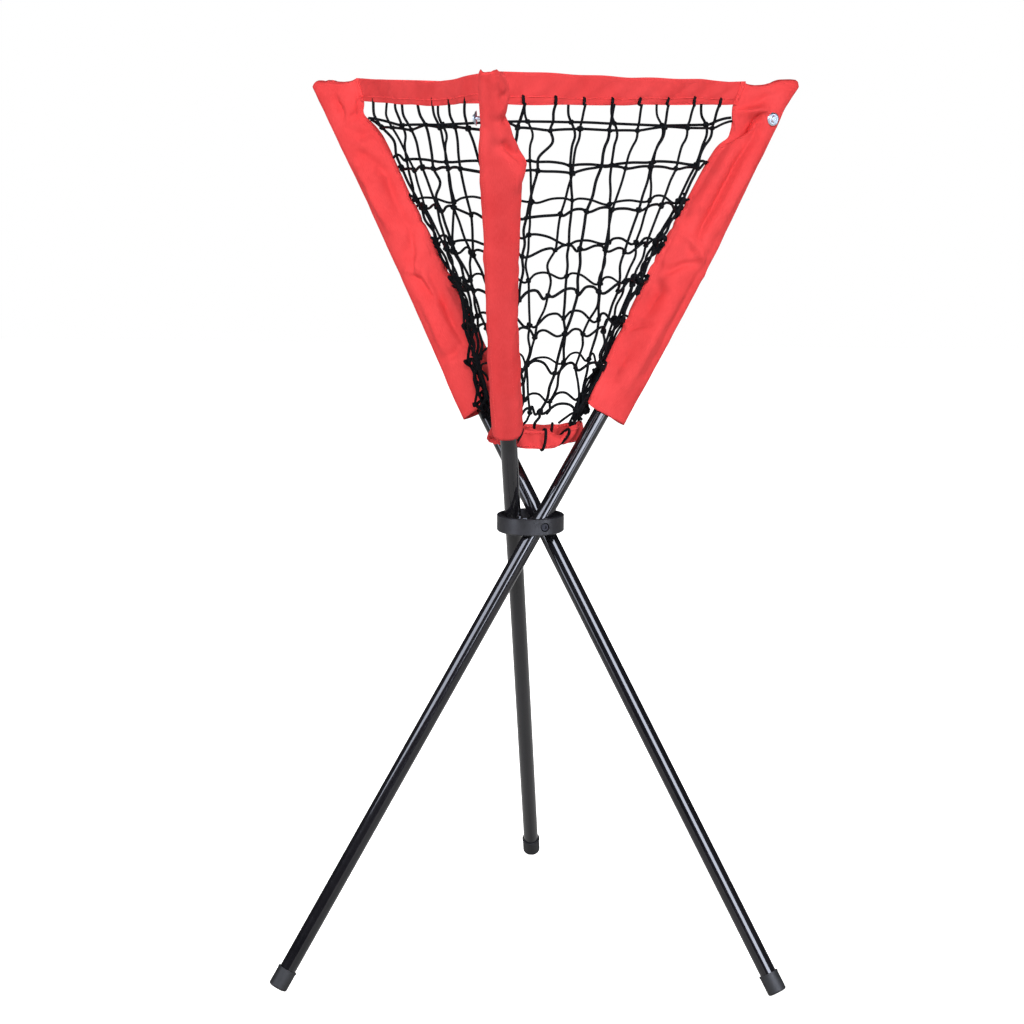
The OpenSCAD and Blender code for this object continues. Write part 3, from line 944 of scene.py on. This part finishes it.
def make_hem_half(panel, near_side):
    """Half of a hem strip, twisted and cupped, with two rows of stitches on both faces."""
    u = half_shares(HEM_COLUMNS, near_side)
    path, normal, width = hem_frame(panel, u)
    across, face = both_faces(np.linspace(-1, 1, HEM_POINTS))
    squeeze = 1 - 0.22 * np.exp(-(((u - 0.58) / 0.06) ** 2)) * (panel == "ca")
    if "b" in panel:  # pulled thin where the two strips meet on leg b
        from_b = u if panel[0] == "b" else 1 - u
        squeeze = squeeze - HEM_PINCH * np.exp(-((from_b / 0.14) ** 2))
    round_off = np.clip((1 - np.abs(across)) * HEM_DEEP / 2.2, 0, 1) ** 0.5
    swell = face * BAND_THICK / 2 * (0.35 + 0.65 * round_off) + hem_cup(panel, u[:, None], across[None])
    level = across[None] * (HEM_DEEP / 2 * squeeze)[:, None]
    verts = path[:, None] + normal[:, None] * (swell * MM)[..., None]
    verts = verts + width[:, None] * (level * MM)[..., None]
    thread = Builder()
    for edge in (-0.72, 0.72):
        for side in (-1, 1):
            swell = hem_cup(panel, u, edge) + side * BAND_THICK / 2
            level = edge * HEM_DEEP / 2 * squeeze
            line = path + normal * (swell * MM)[:, None] + width * (level * MM)[:, None]
            stitch_run(thread, line, normal * side, weights=side_weight(u, near_side))
    hang_strip("Hem", panel, near_side, u, verts, run_along(path), 10, thread)


for panel in PANELS:
    for near_side in (True, False):
        make_hem_half(panel, near_side)

# ---------------------------------------------------------------- net

CELL = 44.0  # cord length of one side of a mesh, mm
CORD_R = 1.3
COLUMNS = 8  # upright cords across a panel
FIRST_ROW, ROW_STEP, ROWS = 25.5, 38.4, 8  # drop to the first row of knots, drop between rows, and rows
BAND_BOTTOM = BASKET_TOP - 17.6  # height from which the rows are counted down
BULGE, BULGE_FROM = 9.0, 70.0  # how far a panel bellies out, mm, above which height
TIE_RISE = {"ca": 6.2}  # on this band the cords come out through the cloth this far above its lower edge, mm
ROW_LIFT = {"ab": 4.5, "bc": 0.0, "ca": 0.0}  # how much higher a panel's rows lie, mm
EDGE_GAP = {"a": 7.0, "b": 3.0, "c": -7.0}  # how close the last cord lies to each sleeve's edge, mm
FREE_SHARE = 0.45  # share of the half panel in which the cords are not crowded
NET_SEED = {"ab": 11, "bc": 23, "ca": 5}
ROW_SLACK = (0, 0.1, 0.3, 0.5, 0.7, 0.9, 1.0, 1.0, 1.0)  # how loose each row hangs


def net_point(panel, across, z, proud=0.0):
    """Point of a net panel and its share across: across from the middle line, z above the pivots and
    proud outward, in mm."""
    near, far, out = panel_axes(panel)
    z = np.asarray(z, float)
    a, b = inner_edge_point(near, z, 1.0, True), inner_edge_point(far, z, 1.0, True)
    wide = np.linalg.norm(b - a, axis=-1) / MM
    u = 0.5 + np.asarray(across) / wide
    height = np.clip((z - BULGE_FROM) / (BAND_BOTTOM - BULGE_FROM), 0, 1)
    swell = BULGE * np.sin(math.pi * height) * np.sin(math.pi * np.clip(u, 0, 1))
    p = a + (b - a) * u[..., None]
    return p + out * ((swell + proud) * MM)[..., None], u


def net_width(panel, z):
    """Width of a net panel at a height, mm."""
    near, far, _ = panel_axes(panel)
    a, b = inner_edge_point(near, z, 1.0, True), inner_edge_point(far, z, 1.0, True)
    return float(np.linalg.norm(b - a) / MM)


def band_bottom(panel, u):
    """Height of a band's lower edge, mm above the pivots."""
    return float(BASKET_TOP + table_at(BAND_TOP[panel], u) - table_at(BAND_DEPTH[panel], u))


def crowd(across, limit, outermost):
    """Draws the outer cords of a row together where the row is wider than the panel."""
    free = FREE_SHARE * limit
    if outermost <= limit or abs(across) <= free:
        return across
    share = (abs(across) - free) / (outermost - free)
    squeeze = 1 - (1 - share) ** ((outermost - free) / (limit - free))
    return math.copysign(free + (limit - free) * squeeze, across)


def lay_knots(panel, rng):
    """Places (across, z, proud) of the knots, and whether each is held against its sleeve because the
    panel is too narrow there."""
    top = net_width(panel, BAND_BOTTOM)
    knots = {}
    for r in range(ROWS + 2):
        z = BAND_BOTTOM - FIRST_ROW - (r - 1) * ROW_STEP + ROW_LIFT[panel]
        if r > ROWS:
            z = HEM_TOP - HEM_SAG + 2
        wide = net_width(panel, max(z if r else BAND_BOTTOM, HEM_TOP - 14))
        step = CELL * (wide / top) ** 0.3
        loose = 0.0 if r == 0 else 0.35 + 0.13 * r
        for c in range(COLUMNS):
            across = (c - (COLUMNS - 1) / 2) * step
            limit = wide / 2 - EDGE_GAP[panel[0] if across < 0 else panel[1]]
            held = abs(across) > limit
            across = crowd(across, limit, (COLUMNS - 1) / 2 * step)
            across += loose * rng.normal(0, 0.8 if held else 2.3)
            height = z + loose * rng.normal(0, 3.0)
            proud = loose * rng.normal(0, 3.5) + (rng.uniform(-3, 3) if held else 0)
            if r == 0:  # in front of the band where the cords come out through it, otherwise up behind it
                rise, proud = (-1.0, 5.0) if panel in TIE_RISE else (3.0, 1.0)
                height = band_bottom(panel, 0.5 + across / wide) + rise
            knots[r, c] = (across, height, proud, held)
    return knots


def knot_loop(builder, centre, weight, rng, size=1.0):
    """A small overhand knot: one closed strand wound round the crossing."""
    t = np.arange(20) / 20 * math.tau
    r = (1.35 + 0.45 * np.cos(3 * t)) * MM * size
    local = np.stack([r * np.cos(2 * t), r * np.sin(2 * t), 0.95 * MM * size * np.sin(3 * t)], axis=1)
    turn, tip = (Matrix.Rotation(rng.uniform(0, math.tau), 3, axis) for axis in "ZX")
    points = centre + local @ np.array(turn @ tip).T
    add_tube(builder, points, 1.1 * MM * size, 6, np.full(20, weight), closed=True)


def lay_cord(halves, route, panel, radius=CORD_R):
    """A smooth cord through (across, z, proud) points, split where it crosses the panel's middle line."""
    line = catmull(route, 6)
    points, u = net_point(panel, line[:, 0], line[:, 1], line[:, 2])
    pts, us, runs = [points[0]], [u[0]], []
    for i in range(1, len(points)):
        if (us[-1] - 0.5) * (u[i] - 0.5) < 0:
            t = (0.5 - u[i - 1]) / (u[i] - u[i - 1])
            p = points[i - 1] + (points[i] - points[i - 1]) * t
            runs.append((pts + [p], us + [0.5]))
            pts, us = [p], [0.5 + math.copysign(1e-6, u[i] - 0.5)]
        pts.append(points[i])
        us.append(u[i])
    for p, share in runs + [(pts, us)]:
        if len(p) > 1:
            share = np.array(share)
            near_side = bool(share.mean() < 0.5)
            add_tube(halves[near_side], p, radius * MM, 8, side_weight(share, near_side))


def upright_route(knots, c, rng):
    """Cord running down one column of knots, nearly straight at the top and looser below."""
    route = [np.array(knots[0, c][:3])]
    for r in range(1, ROWS + 2):
        before, after = np.array(knots[r - 1, c][:3]), np.array(knots[r, c][:3])
        both_held = knots[r, c][3] and knots[r - 1, c][3]
        slack = 2.2 if both_held else (0.45 if rng.random() > 0.12 else 2.2) + 0.8 * (r > 4)
        slack *= 0.3 if r == 1 else 1.0
        for t in (0.33, 0.67):
            route.append(before + (after - before) * t + [rng.normal(0, slack), 0, rng.normal(0, slack)])
        route.append(after)
    return route


def row_route(knots, r, panel, rng):
    """Cord running along one row: it dips after a knot, arches up and comes down onto the next one."""
    wide = net_width(panel, knots[r, 0][1])
    stations = [knots[r, c] for c in range(COLUMNS)]
    left_up, right_up = (7.0 if r == 1 else rng.uniform(-3, 8) for _ in range(2))
    left_end = (-(wide / 2 + 4.0), stations[0][1] + left_up, 0.0, True)
    right_end = (wide / 2 + 4.0, stations[-1][1] + right_up, 0.0, True)
    stations = [left_end, *stations, right_end]
    route = [np.array(stations[0][:3])]
    for a, b in zip(stations, stations[1:]):
        pa, pb = np.array(a[:3]), np.array(b[:3])
        spare = ROW_SLACK[r] * math.sqrt(max(0.0, CELL**2 - min(abs(pb[0] - pa[0]), CELL) ** 2))
        spare = min(spare, 26.0)
        hump, dip = spare * rng.uniform(0.2, 0.34), spare * rng.uniform(0.03, 0.12)
        if a[3] and b[3]:
            hump, dip = hump * 0.35, dip * 0.3
        shape = [(0.17, -dip), (0.5, hump * 0.8), (0.8, hump * 0.8)]
        if rng.random() < 0.24:
            shape = [(1 - t, v) for t, v in shape[::-1]]
        sway = spare * rng.uniform(-0.3, 0.3)
        for t, up in shape:
            route.append(pa + (pb - pa) * t + [0, up, sway * math.sin(math.pi * t)])
        route.append(pb)
    return route


def make_net(panel):
    """Both halves of one net panel: uprights, rows, knots and what ties it to the band, hem and sleeves."""
    rng = np.random.default_rng(NET_SEED[panel])
    knots = lay_knots(panel, rng)
    halves = {True: Builder(), False: Builder()}
    for c in range(COLUMNS):
        lay_cord(halves, upright_route(knots, c, rng), panel, CORD_R * rng.uniform(0.9, 1.12))
    for r in range(1, ROWS + 1):
        lay_cord(halves, row_route(knots, r, panel, rng), panel, CORD_R * rng.uniform(0.9, 1.12))
    for (r, c), (across, z, proud, held) in knots.items():
        if 0 < r <= ROWS:
            p, u = net_point(panel, np.array(across), np.array(z), np.array(proud))
            near_side = bool(u < 0.5)
            size = rng.uniform(1.0, 1.3) if not held else 1.3
            knot_loop(halves[near_side], p, float(side_weight(u, near_side)), rng, size)
    tie_band(panel, knots, halves)
    tie_hem(panel, knots, halves, rng)
    tie_sleeves(panel, halves, rng)
    for near_side, body in halves.items():
        leg_name = panel[0] if near_side else panel[1]
        piece = body.build(f"Net_{panel}_{leg_name}", CORD)
        hang(piece, [f"net_panel_{panel}"])


def add_loop(halves, u, centre, one, other, radius):
    """A closed loop of cord round a centre, its half axes given as vectors in metres."""
    t = np.arange(24) / 24 * math.tau
    points = centre + one * np.cos(t)[:, None] + other * np.sin(t)[:, None]
    near_side = bool(u < 0.5)
    weight = float(side_weight(np.array(u), near_side))
    add_tube(halves[near_side], points, radius * MM, 7, np.full(24, weight), closed=True)


def tie_band(panel, knots, halves):
    """Ends of the uprights lying over the rim band's hem, up to where they go in through the cloth."""
    if panel not in TIE_RISE:
        return
    for c in range(COLUMNS):
        across, z, proud, _ = knots[0, c]
        share = np.full(4, 0.5 + across / panel_width(panel, BAND_BOTTOM))
        down = 1 - TIE_RISE[panel] * np.array([1, 0.95, 0.5, 0.06]) / band_depth(panel, share)
        over = np.array([-0.4, 0.7, 0.9, 0.8]) + BAND_THICK / 2
        path = band_point(panel, share, down, band_relief(panel, share, down) + over)
        foot, _ = net_point(panel, np.array([across]), np.array([z - 1.5]), np.array([proud]))
        near_side = bool(share[0] < 0.5)
        weight = float(side_weight(share[0], near_side))
        add_tube(halves[near_side], np.vstack([path, foot]), 1.45 * MM, 8, np.full(5, weight))


def tie_hem(panel, knots, halves, rng):
    """Wraps of cord round the hem strip under the uprights that reach it, except held ones, those of panel bc
    and those on leg b's half of panel ab.
    """
    for c in range(COLUMNS):
        across, z, proud, held = knots[ROWS + 1, c]
        if held or panel == "bc" or (panel == "ab" and across > 0):
            continue
        u = float(np.clip(0.5 + across / net_width(panel, HEM_TOP - HEM_DEEP / 2), 0.03, 0.97))
        path, normal, width = hem_frame(panel, np.array([u - 0.01, u, u + 0.01]))
        along = (path[2] - path[0]) / np.linalg.norm(path[2] - path[0])
        reach = width[1] * (HEM_DEEP / 2 + 1.2) * MM + along * rng.uniform(-3, 3) * MM
        add_loop(halves, u, path[1], reach, normal[1] * 3.2 * MM, 1.5)


# the cord in the gathered edge beside each sleeve: the height it starts at, how far off the edge and
# how open it lies, mm, and the knots in each tie
GATHER = {"a": (318, 6.5, 1.6, 3), "b": (236, 3.0, 4.6, 2), "c": (300, -6.0, 1.0, 1)}


def tie_sleeves(panel, halves, rng):
    """The net's gathered edge: a winding cord beside the sleeve, tied to it with a clump at every row."""
    for near_side in (True, False):
        start, off, open_by, clump = GATHER[panel[0] if near_side else panel[1]]
        sign = 1 if near_side else -1
        ties = [BAND_BOTTOM - FIRST_ROW - r * ROW_STEP + rng.uniform(-5, 5) for r in range(2, ROWS)]
        ties = [tie for tie in ties if tie < start + 10]
        z = np.linspace(start, HEM_TOP - 6, 90)
        wide = np.array([net_width(panel, v) for v in z])
        slack = 1 - np.max([np.exp(-(((z - tie) / 8.0) ** 2)) for tie in ties], axis=0)
        phase = math.tau * z / 62 + rng.uniform(-0.4, 0.4)
        offset = 1.0 + slack * (off + open_by * np.sin(phase)) + 1.2 * np.sin(phase * 2.3)
        proud = slack * open_by * np.cos(phase) - 1.0
        points, u = net_point(panel, -sign * (wide / 2 - offset), z, proud)
        add_tube(halves[near_side], points, rng.uniform(1.0, 1.25) * MM, 7, side_weight(u, near_side))
        for tie in ties:
            wide = net_width(panel, tie)
            for _ in range(clump):
                across = -sign * (wide / 2 - min(off, 0) - rng.uniform(0.0, 3.6))
                height, proud = tie + rng.uniform(-6, 6), rng.uniform(-2, 2)
                spot, u = net_point(panel, np.array(across), np.array(height), np.array(proud))
                weight = float(side_weight(u, near_side))
                knot_loop(halves[near_side], spot, weight, rng, rng.uniform(1.1, 1.5))


for panel in PANELS:
    make_net(panel)

# ---------------------------------------------------------------- camera, floor and light

HEADING = math.radians(4.111 + 0.485)
PITCH = math.radians(10.068)
ROLL = math.radians(0.153)
STAND_HEADING = math.radians(4.111)
STAND_BACK, STAND_UP = 2.1424, 0.3903  # camera from the ring's centre, m
LENS, SENSOR = 77.9, 36.0  # mm

ring_low, ring_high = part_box("hub_ring")
ring_centre = (ring_low + ring_high) / 2
stand = Matrix.Rotation(STAND_HEADING, 3, "Z") @ Vector((0, -STAND_BACK, STAND_UP))
camera_data = bpy.data.cameras.new("Camera")
camera_data.lens = LENS
camera_data.sensor_width = SENSOR
camera = bpy.data.objects.new("Camera", camera_data)
camera.matrix_world = (
    Matrix.Translation(ring_centre + stand)
    @ Matrix.Rotation(HEADING, 4, "Z")
    @ Matrix.Rotation(math.pi / 2 - PITCH, 4, "X")
    @ Matrix.Rotation(ROLL, 4, "Z")
)
bpy.context.scene.collection.objects.link(camera)
bpy.context.scene.camera = camera


FLOOR_REACH = 6.0  # m to each side
FLOOR_GLOW = 0.02  # how much the floor shines on the object; to the camera it shines with 1


def pale_floor():
    """Floor that is plain white to the camera, without shadows, and grey to everything else."""
    m = Shader("studio_floor")
    seen_by = m.node("ShaderNodeLightPath").outputs["Is Camera Ray"]
    return m.set(
        Base_Color=m.mix(seen_by, rgb(0.45, 0.45, 0.45), rgb(0.88, 0.88, 0.88)),
        Roughness=0.7,
        Specular_IOR_Level=0.0,
        Emission_Color=rgb(1, 1, 1),
        Emission_Strength=m.ramp(seen_by, FLOOR_GLOW, 1.0),
    )


floor_mesh = bpy.data.meshes.new("Floor")
floor_corners = [(x * FLOOR_REACH, y * FLOOR_REACH, 0) for x, y in ((-1, -1), (1, -1), (1, 1), (-1, 1))]
floor_mesh.from_pydata(floor_corners, [], [[0, 1, 2, 3]])
floor_mesh.materials.append(pale_floor())
floor = bpy.data.objects.new("Floor", floor_mesh)
floor.location.z = -0.0005
bpy.context.scene.collection.objects.link(floor)


LAMP_AIM = 0.5  # height that the lamps point at, m


def softbox(name, bearing, distance, height, size, power, tint=(1, 1, 1), mirrored=True):
    """A rectangular softbox aimed at the basket; bearing in degrees from the camera's side, + to the right.
    A mirrored one only shows in reflections; any other gives only diffuse light."""
    data = bpy.data.lights.new(name, "AREA")
    data.shape = "RECTANGLE"
    data.size, data.size_y = size
    data.energy = power
    data.color = tint
    lamp = bpy.data.objects.new(name, data)
    a = math.radians(bearing) + STAND_HEADING
    lamp.location = (math.sin(a) * distance, -math.cos(a) * distance, height)
    aim = Vector((0, 0, LAMP_AIM)) - lamp.location
    lamp.rotation_euler = aim.to_track_quat("-Z", "Y").to_euler()
    lamp.visible_glossy = mirrored
    lamp.visible_diffuse = not mirrored
    bpy.context.scene.collection.objects.link(lamp)


COOL = (0.8, 0.85, 1.0)
softbox("Mirror_right", 25, 2.5, 1.5, (1.7, 1.9), 135, COOL)
softbox("Mirror_left", -46, 2.5, 2.1, (2.2, 1.0), 60, COOL)
softbox("Mirror_low_left", -58, 2.5, 0.3, (0.9, 0.6), 9, COOL)
softbox("Mirror_low_right", 56, 2.5, 0.3, (0.8, 0.6), 9, COOL)
softbox("Key", 4, 2.6, 1.9, (0.4, 0.4), 65, mirrored=False)
softbox("Fill", -64, 2.6, 1.3, (0.6, 0.6), 37, mirrored=False)
softbox("Side", 72, 2.6, 1.6, (0.4, 0.4), 31, mirrored=False)
softbox("Back", 185, 2.6, 1.6, (0.8, 0.8), 40, mirrored=False)

world = bpy.data.worlds.new("Studio")
bpy.context.scene.world = world
world.use_nodes = True
nodes, links = world.node_tree.nodes, world.node_tree.links
background = nodes["Background"]
path_kind = nodes.new("ShaderNodeLightPath")
background.inputs["Color"].default_value = rgb(1, 1, 1)
seen = nodes.new("ShaderNodeMix")
seen.inputs["A"].default_value = 0.2  # how bright the room is to the object
seen.inputs["B"].default_value = 1.0  # and to the camera
links.new(path_kind.outputs["Is Camera Ray"], seen.inputs["Factor"])
gloss = nodes.new("ShaderNodeMix")
gloss.inputs["B"].default_value = 0.012  # and in reflections
links.new(path_kind.outputs["Is Glossy Ray"], gloss.inputs["Factor"])
links.new(seen.outputs["Result"], gloss.inputs["A"])
links.new(gloss.outputs["Result"], background.inputs["Strength"])

bpy.context.scene.view_settings.view_transform = "Standard"
